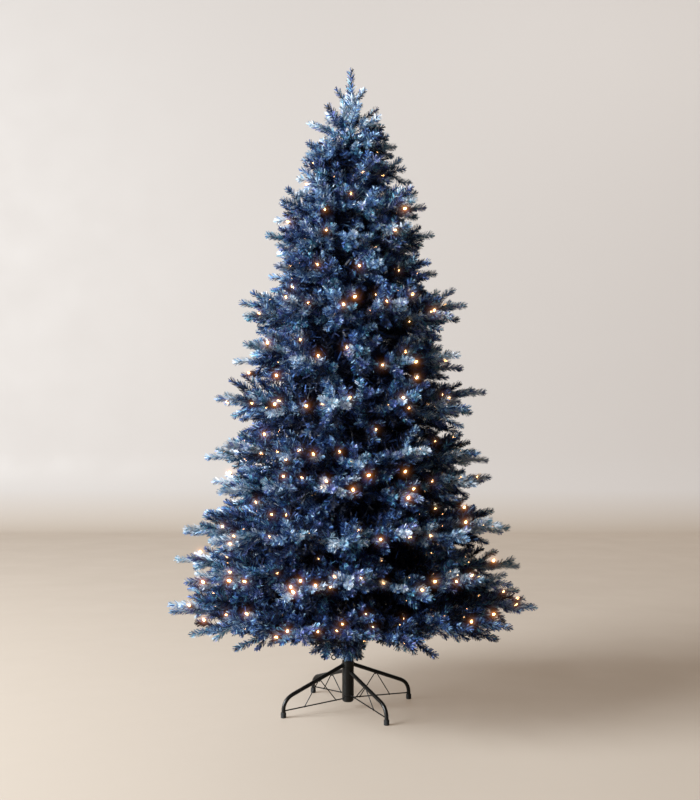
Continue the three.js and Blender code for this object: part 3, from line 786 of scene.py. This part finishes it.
def build_pole():
    """The pole in its sections, each swaged where the next one stands in it, and the receiver ring."""
    ring = TIER_LINES[0][0] - RECEIVER["height"] / 2
    top = ring + RECEIVER["height"]
    outer, inner = RECEIVER["radius"], POLE["radius"]
    profile = [(0, POLE["foot"] + CLEARANCE), (inner - 0.8, POLE["foot"] + CLEARANCE), (inner, 27.5)]
    profile += [(inner, ring - 1), (inner + 1, ring), (outer - 1, ring), (outer, ring + 1)]
    profile += [(outer, ring + 6), (outer - 2, ring + 7), (outer - 2, top - 7), (outer, top - 6)]
    profile += [(outer, top - 1), (outer - 1, top), (inner + 1, top), (inner, top + 1)]
    for i, (end, radius) in enumerate(POLE_SECTIONS):
        slimmer = POLE_SECTIONS[i + 1][1] if i + 1 < len(POLE_SECTIONS) else POLE["tip_radius"]
        profile += [(radius, end - 42), (radius - 0.5, end - 40), (radius - 0.5, end - 37)]
        profile += [(radius, end - 35), (radius, end - 6), (radius + 0.5, end - 4.5)]
        profile += [(radius + 0.4, end - 2.5), (slimmer, end)]
    profile += [(POLE["tip_radius"], POLE["top"] - 1.5), (3.6, POLE["top"]), (0, POLE["top"])]
    paint = coat_material("pole_paint", (0.012, 0.016, 0.015), 0.2, (0.35, 0.55), 260, 0.0002)
    triangle_piece("pole", *lathe(profile), paint, "pole", ["trunk_pole"], sharp=35)


def build_lowest_boughs():
    """Steel rods wound with film, from the receiver ring to where their foliage starts."""
    shapes = []
    for k in range(TIERS[0][2]):
        angle = math.radians(TIERS[0][3]) + 2 * math.pi * k / TIERS[0][2]
        reaches = np.linspace(RECEIVER["radius"] + CLEARANCE, BARE_BOUGH, 120)
        line = np.array([polar(r, angle, line_height(0, r, angle)) for r in reaches])
        shapes.append(swept(line[::17], 4.4, 12))
        along = unit(line[-1] - line[0])
        across = unit(np.cross(UP, along))
        over = np.cross(along, across)
        turns = np.linspace(0, 17 * 2 * math.pi, 120)[:, None]
        winding = line + 4.4 * (np.cos(turns) * across + np.sin(turns) * over)
        shapes.append(swept(winding, 1.5, 5))
    wrap = coat_material("bough_film", (0.012, 0.020, 0.030), 0.0, (0.5, 0.8), 300, 0.0004)
    names = [f"bough_lowest_{k + 1}" for k in range(TIERS[0][2])]
    triangle_piece("boughs_lowest", *joined(shapes), wrap, "bough_wrap", names, sharp=50)


def collar(low, high):
    """A ring of tube with rounded rims."""
    r, w, e = COLLAR_INNER, COLLAR_OUTER, 0.6
    profile = [(r, low + e), (r + e, low), (w - e, low), (w, low + e), (w, high - e)]
    profile += [(w - e, high), (r + e, high), (r, high - e), (r, low + e)]
    return lathe(profile, 48)


def leg(rule):
    """A bent tube, a thin rod under it and two braces, with a bead of weld where they meet."""
    start = COLLAR_OUTER - POLE["wall"] + 0.4
    reach, bend = STAND["foot_reach"], STAND["bend_radius"]

    def height_at(x):
        return rule["tube_height"] + rule["tube_slope"] * (x - start)

    bend_start = np.array([reach - bend, 0, height_at(reach - bend)])
    corner = np.array([reach, 0, height_at(reach)])
    bend_end = corner - [0, 0, bend]
    shares = np.linspace(0, 1, 15)[:, None]
    line = [np.array([start, 0, height_at(start)]), *on_curve(bend_start, corner, bend_end, shares)]
    line.append(np.array([reach, 0, FOOT_CAP["floor"] + CLEARANCE]))

    def rod_at(share):
        drop = (ROD_FOOT_HEIGHT - rule["rod_height"]) * share
        return np.array([share * reach, 0, rule["rod_height"] + drop])

    def bead(point, toward, radius):
        along = unit(np.asarray(toward, dtype=float))
        profile = [(offset, share * radius) for offset, share in WELD_BEAD]
        return turned(np.asarray(point, dtype=float), along, profile, 9)

    apex_reach = BRACE_SHARES["apex"] * reach
    apex = np.array([apex_reach, 0, height_at(apex_reach)])
    rod = [rod_at(start / reach), rod_at(1)]
    shapes = [swept(line, STAND["tube_radius"], 20), swept(rod, STAND["rod_radius"], 10)]
    slope = unit(rod[1] - rod[0])
    for share in (BRACE_SHARES["inner"], BRACE_SHARES["outer"]):
        foot = rod_at(share)
        shapes.append(swept([apex, foot], STAND["brace_radius"], 8))
        shapes.append(bead(foot, slope, 3.1))
    under = apex - [0, 0, STAND["tube_radius"]]
    shapes.append(bead(under, unit(line[1] - line[0]), 3.4))
    shapes.append(bead(rod_at((reach - STAND["tube_radius"]) / reach), slope, 3.4))
    shapes.append(bead(rod_at((COLLAR_OUTER + 0.6) / reach), slope, 3.2))
    turns = np.linspace(0, 2 * math.pi, 24, endpoint=False)[:, None]
    along = unit(line[1] - line[0])
    over = np.cross(along, [0.0, 1.0, 0.0])
    lumps = STAND["tube_radius"] + 0.4 + 0.25 * np.sin(9 * turns)
    ring = lumps * (np.cos(turns) * np.array([0.0, 1.0, 0.0]) + np.sin(turns) * over)
    shapes.append(swept(line[0] + along * 2.6 + ring, 1.2, 6, closed=True))
    return shapes


def build_stand():
    coat = coat_material("stand_coat", (0.005, 0.0045, 0.004), 0.0, (0.24, 0.4), 520, 0.0002)
    outer, inner = SLEEVE_OUTER, POLE["radius"] + CLEARANCE
    low, high = STAND["sleeve_bottom"], STAND["sleeve_top"]
    profile = [(0, low), (outer - 6, low), (outer - 2, low + 0.9), (outer, low + 3), (outer, high - 0.7)]
    profile += [(outer - 0.7, high), (inner + 0.7, high), (inner, high - 0.7), (inner, POLE["foot"])]
    profile += [(0, POLE["foot"])]
    triangle_piece("sleeve", *lathe(profile, 48), coat, "stand_metal", ["stand_sleeve"], sharp=35)
    for rule in FRAMES:
        shapes = [collar(*ends) for ends in rule["collars"]]
        for side in (0, math.pi):
            shapes += [spun(shape, STAND["yaw"] + rule["turn"] + side) for shape in leg(rule)]
        piece = rule["name"].replace("stand_frame", "legs")
        triangle_piece(piece, *joined(shapes), coat, "stand_metal", [rule["name"]], sharp=40)
    rubber = coat_material("foot_rubber", (0.014, 0.014, 0.014), 0.0, (0.6, 0.85), 700, 0.0002)
    r, high, hole = FOOT_CAP["radius"], FOOT_CAP["height"], STAND["tube_radius"] + CLEARANCE
    profile = [(0, 0), (r - 1.6, 0), (r - 0.5, 0.5), (r, 1.8)]
    for groove in (4.5, 8, 11.5):
        profile += [(r, groove), (r - 0.5, groove + 0.5), (r - 0.5, groove + 1.1), (r, groove + 1.6)]
    profile += [(r, high - 0.9), (r - 0.6, high), (hole + 0.3, high), (hole, high - 0.5)]
    profile += [(hole, FOOT_CAP["floor"]), (0, FOOT_CAP["floor"])]
    for k, side in enumerate(("right", "back", "left", "front")):
        place = polar(STAND["foot_reach"], STAND["yaw"] + k * math.pi / 2, 0)
        cap = spun(lathe(profile, 36), 0, place)
        triangle_piece("cap_" + side, *cap, rubber, "foot_rubber", ["foot_cap_" + side], sharp=35)
    build_clamp(coat)


def build_clamp(coat):
    """The eye screw that clamps the pole: a nut, a threaded shaft and an eye of wire."""
    left = np.array([-1.0, 0, 0])
    root = np.array([-(SLEEVE_OUTER + CLEARANCE), 0, CLAMP["height"]])
    shaft = CLAMP["reach"] - CLAMP["eye_radius"] + root[0]
    thin = CLAMP["shaft_radius"]
    nut = turned(root, left, [(0, 5.2), (0.7, 6), (4.3, 6), (5, 5.2)], 6)
    neck = [(0, thin - 0.5), (shaft - 6, thin - 0.5), (shaft - 5, thin), (shaft, thin)]
    rod = turned(root, left, neck, 16)
    turns = np.linspace(0, 11 * 2 * math.pi, 150)[:, None]
    reach = np.linspace(5, shaft - 6, 150)[:, None]
    around = np.cos(turns) * np.array([0, 1.0, 0]) + np.sin(turns) * UP
    thread = swept(root + reach * left + (thin - 0.5) * around, 0.45, 4)
    round_eye = np.linspace(0, 2 * math.pi, 40, endpoint=False)[:, None]
    centre = np.array([-CLAMP["reach"], 0, CLAMP["height"]])
    circle = centre + CLAMP["eye_radius"] * (np.cos(round_eye) * left + np.sin(round_eye) * UP)
    eye = swept(circle, CLAMP["eye_wire"], 12, closed=True)
    shapes = joined([nut, rod, thread, eye])
    triangle_piece("clamp_eye", *shapes, coat, "stand_metal", ["clamp_screw"], sharp=40)


limbs = Limbs()
grow_crown(limbs)
grow_leader(limbs)
grow_foot(limbs)
build_needles(limbs)
build_twigs(limbs)
build_lamps(limbs)
build_pole()
build_lowest_boughs()
build_stand()


# Floor, backdrop, light and camera
COVE = {"front": -9.0, "back": 5.7, "half": 9.0, "top": 6.0, "bend": 0.6, "steps": 12, "wall_from": 0.3}
COVE_COLOURS = {  # of the floor and of the wall
    "Base Color": ((0.226, 0.203, 0.177), (0.156, 0.154, 0.151)),
    "Emission Color": ((0.205, 0.150, 0.105), (0.40, 0.35, 0.315)),
}
SURROUND = {"radius": 9.0, "low": -0.5, "high": 9.0, "sides": 72, "colour": (0.52, 0.49, 0.46, 1)}


def stage_piece(name, vertices, faces, material):
    mesh = bpy.data.meshes.new(name)
    mesh.from_pydata(vertices, [], faces)
    mesh.shade_smooth()
    mesh.materials.append(material)
    thing = bpy.data.objects.new(name, mesh)
    bpy.context.scene.collection.objects.link(thing)
    return thing


def cove():
    """A floor that bends up into a backdrop."""
    material, shader = new_material("cove", COVE_COLOURS["Base Color"][0])
    noise = noise_into(material, 3)
    ranged(material, noise.outputs["Fac"], 0.5, 0.62, shader.inputs["Roughness"])
    nodes, links = material.node_tree.nodes, material.node_tree.links
    height = nodes.new("ShaderNodeSeparateXYZ")
    links.new(noise.inputs["Vector"].links[0].from_socket, height.inputs["Vector"])
    for socket, (floor, wall) in COVE_COLOURS.items():
        ramp = nodes.new("ShaderNodeValToRGB")
        ramp.color_ramp.elements[0].color = (*floor, 1)
        ramp.color_ramp.elements[1].color = (*wall, 1)
        ramp.color_ramp.elements[1].position = COVE["wall_from"]
        links.new(height.outputs["Z"], ramp.inputs["Fac"])
        links.new(ramp.outputs["Color"], shader.inputs[socket])
    shader.inputs["Emission Strength"].default_value = 1.0
    bend, back, half = COVE["bend"], COVE["back"], COVE["half"]
    line = [(COVE["front"], 0.0), (back - bend, 0.0)]
    for k in range(1, COVE["steps"] + 1):
        a = k / COVE["steps"] * math.pi / 2
        line.append((back - bend + bend * math.sin(a), bend - bend * math.cos(a)))
    line.append((back, COVE["top"]))
    vertices = [(x, y, z) for x in (-half, half) for y, z in line]
    count = len(line)
    faces = [(i, count + i, count + i + 1, i + 1) for i in range(count - 1)]
    stage_piece("cove", vertices, faces, material)


def surround():
    """A plain pale wall far round the floor, which lights nothing and casts no shadow."""
    material = bpy.data.materials.new("surround")
    material.use_nodes = True
    shader = material.node_tree.nodes["Principled BSDF"]
    shader.inputs["Base Color"].default_value = (0, 0, 0, 1)
    shader.inputs["Emission Color"].default_value = SURROUND["colour"]
    shader.inputs["Emission Strength"].default_value = 1.0
    radius, sides = SURROUND["radius"], SURROUND["sides"]
    rims = (SURROUND["low"], SURROUND["high"])
    turns = [k * 2 * math.pi / sides for k in range(sides)]
    vertices = [(radius * math.sin(a), radius * math.cos(a), z) for z in rims for a in turns]
    faces = [(k, (k + 1) % sides, sides + (k + 1) % sides, sides + k) for k in range(sides)]
    thing = stage_piece("surround", vertices, faces, material)
    thing.visible_diffuse = False
    thing.visible_glossy = False
    thing.visible_transmission = False
    thing.visible_shadow = False


def area_light(name, place, target, size, power, colour):
    data = bpy.data.lights.new(name, "AREA")
    data.shape = "RECTANGLE"
    data.size, data.size_y = size
    data.energy = power
    data.color = colour
    light = bpy.data.objects.new(name, data)
    bpy.context.scene.collection.objects.link(light)
    light.location = place
    aim = Vector(target) - Vector(place)
    light.rotation_euler = aim.to_track_quat("-Z", "Y").to_euler()


def glow_of_lamps():
    """A soft glow round whatever is far brighter than white, as a lens gives it."""
    scene = bpy.context.scene
    scene.use_nodes = True
    tree = scene.node_tree
    layers = next(node for node in tree.nodes if node.type == "R_LAYERS")
    target = next(node for node in tree.nodes if node.type == "COMPOSITE")
    glare = tree.nodes.new("CompositorNodeGlare")
    glare.glare_type = "BLOOM"
    glare.quality = "HIGH"
    for socket, value in GLOW.items():
        glare.inputs[socket].default_value = value
    tree.links.new(layers.outputs["Image"], glare.inputs["Image"])
    tree.links.new(glare.outputs["Image"], target.inputs["Image"])


cove()
surround()
area_light("key", (-6.4, -2.76, 3.53), (0, 0, 1.4), (4.8, 4.5), 2950, (0.93, 0.97, 1.0))
area_light("front", (-2.8, -4.2, 3.2), (0, 0, 1.0), (2.0, 2.0), 34, (0.94, 0.97, 1.0))
area_light("backdrop", (2.8, 3.6, 4.6), (2.8, 5.7, 2.1), (4.2, 1.0), 50, (1.0, 0.97, 0.94))

world = bpy.data.worlds.new("studio")
bpy.context.scene.world = world
world.use_nodes = True
world.node_tree.nodes["Background"].inputs["Color"].default_value = (0.86, 0.95, 1.0, 1)
world.node_tree.nodes["Background"].inputs["Strength"].default_value = 0.05

camera_data = bpy.data.cameras.new("camera")
camera_data.sensor_width = 36
camera_data.lens = 53.2
camera = bpy.data.objects.new("camera", camera_data)
bpy.context.scene.collection.objects.link(camera)
camera.location = (0.0067, -3.934, 1.025)
camera.rotation_euler = (math.pi / 2, 0, 0)
bpy.context.scene.camera = camera
bpy.context.scene.view_settings.view_transform = "Standard"
glow_of_lamps()
